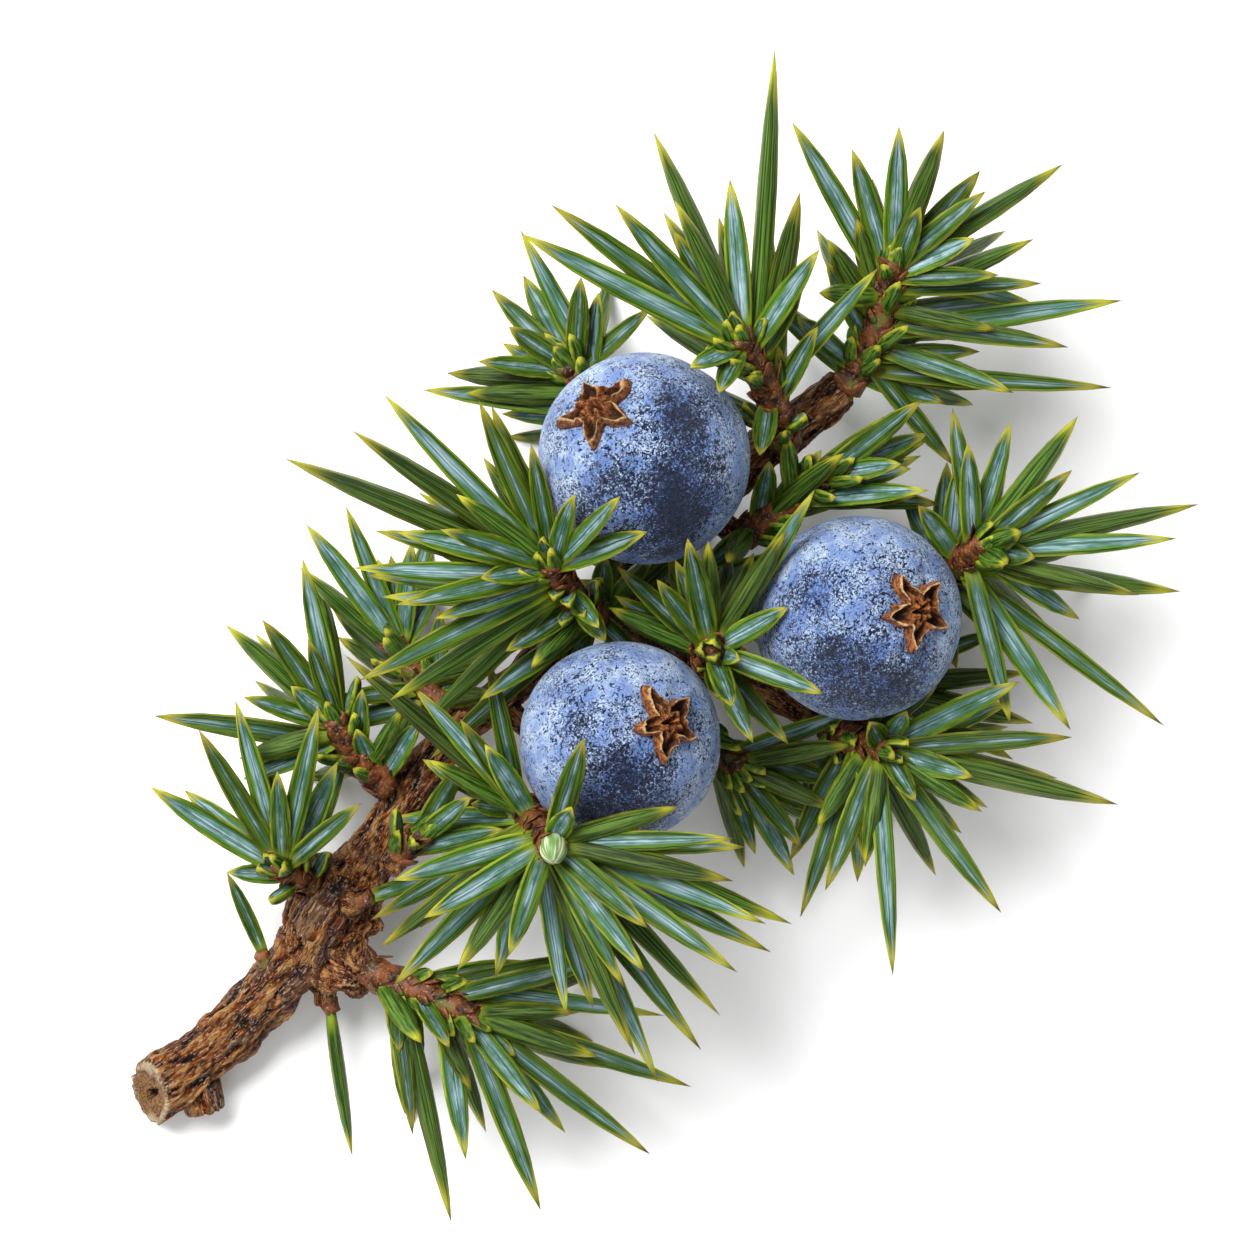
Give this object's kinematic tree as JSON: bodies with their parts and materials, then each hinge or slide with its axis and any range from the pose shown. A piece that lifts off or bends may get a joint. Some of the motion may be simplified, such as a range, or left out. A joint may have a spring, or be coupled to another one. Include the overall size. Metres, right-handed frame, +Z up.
{
  "type": "juniper berry sprig",
  "caption": "Cut sprig of prickly juniper lying on its side, with blue-green needles, a knobbly brown stem and bloomy blue berries with dry star crowns.",
  "frame": {"origin": "under the middle of the whole sprig, on the surface that it lies on", "axes": "+X along the stem from its cut end to its growing tip, +Z up from the surface that the sprig lies on"},
  "size_m": [0.067, 0.042, 0.0199],
  "materials": {
    "bark": "rough fibrous red-brown bark with pale tan ridges and a pale cut face",
    "needles": "satin dark green needle leaves with pale blue-grey bands and yellow-green edges and tips",
    "berry_skin": "waxy powder-blue bloom over dark blue skin, rubbed and speckled",
    "crown": "dry copper-brown papery crown"
  },
  "bodies": {
    "root": {"woody_stem": "bark", "berry_upper": "berry_skin", "berry_right": "berry_skin", "berry_lower": "berry_skin", "crown_upper": "crown", "crown_right": "crown", "crown_lower": "crown", "front_shoot": "needles", "left_shoot": "needles", "upper_shoot": "needles", "middle_shoot": "needles", "leader": "needles", "right_shoot": "needles", "low_right_shoot": "needles", "inner_shoot": "needles", "low_left_shoot": "needles", "side_left_shoot": "needles", "back_left_shoot": "needles", "root_shoot": "needles", "behind_berry_shoot": "needles", "between_shoot": "needles", "fork_shoot": "needles", "knot_needle": "needles", "old_needle": "needles", "stub_needle": "needles", "under_right_shoot": "needles", "under_middle_shoot": "needles"}
  },
  "joints": []
}
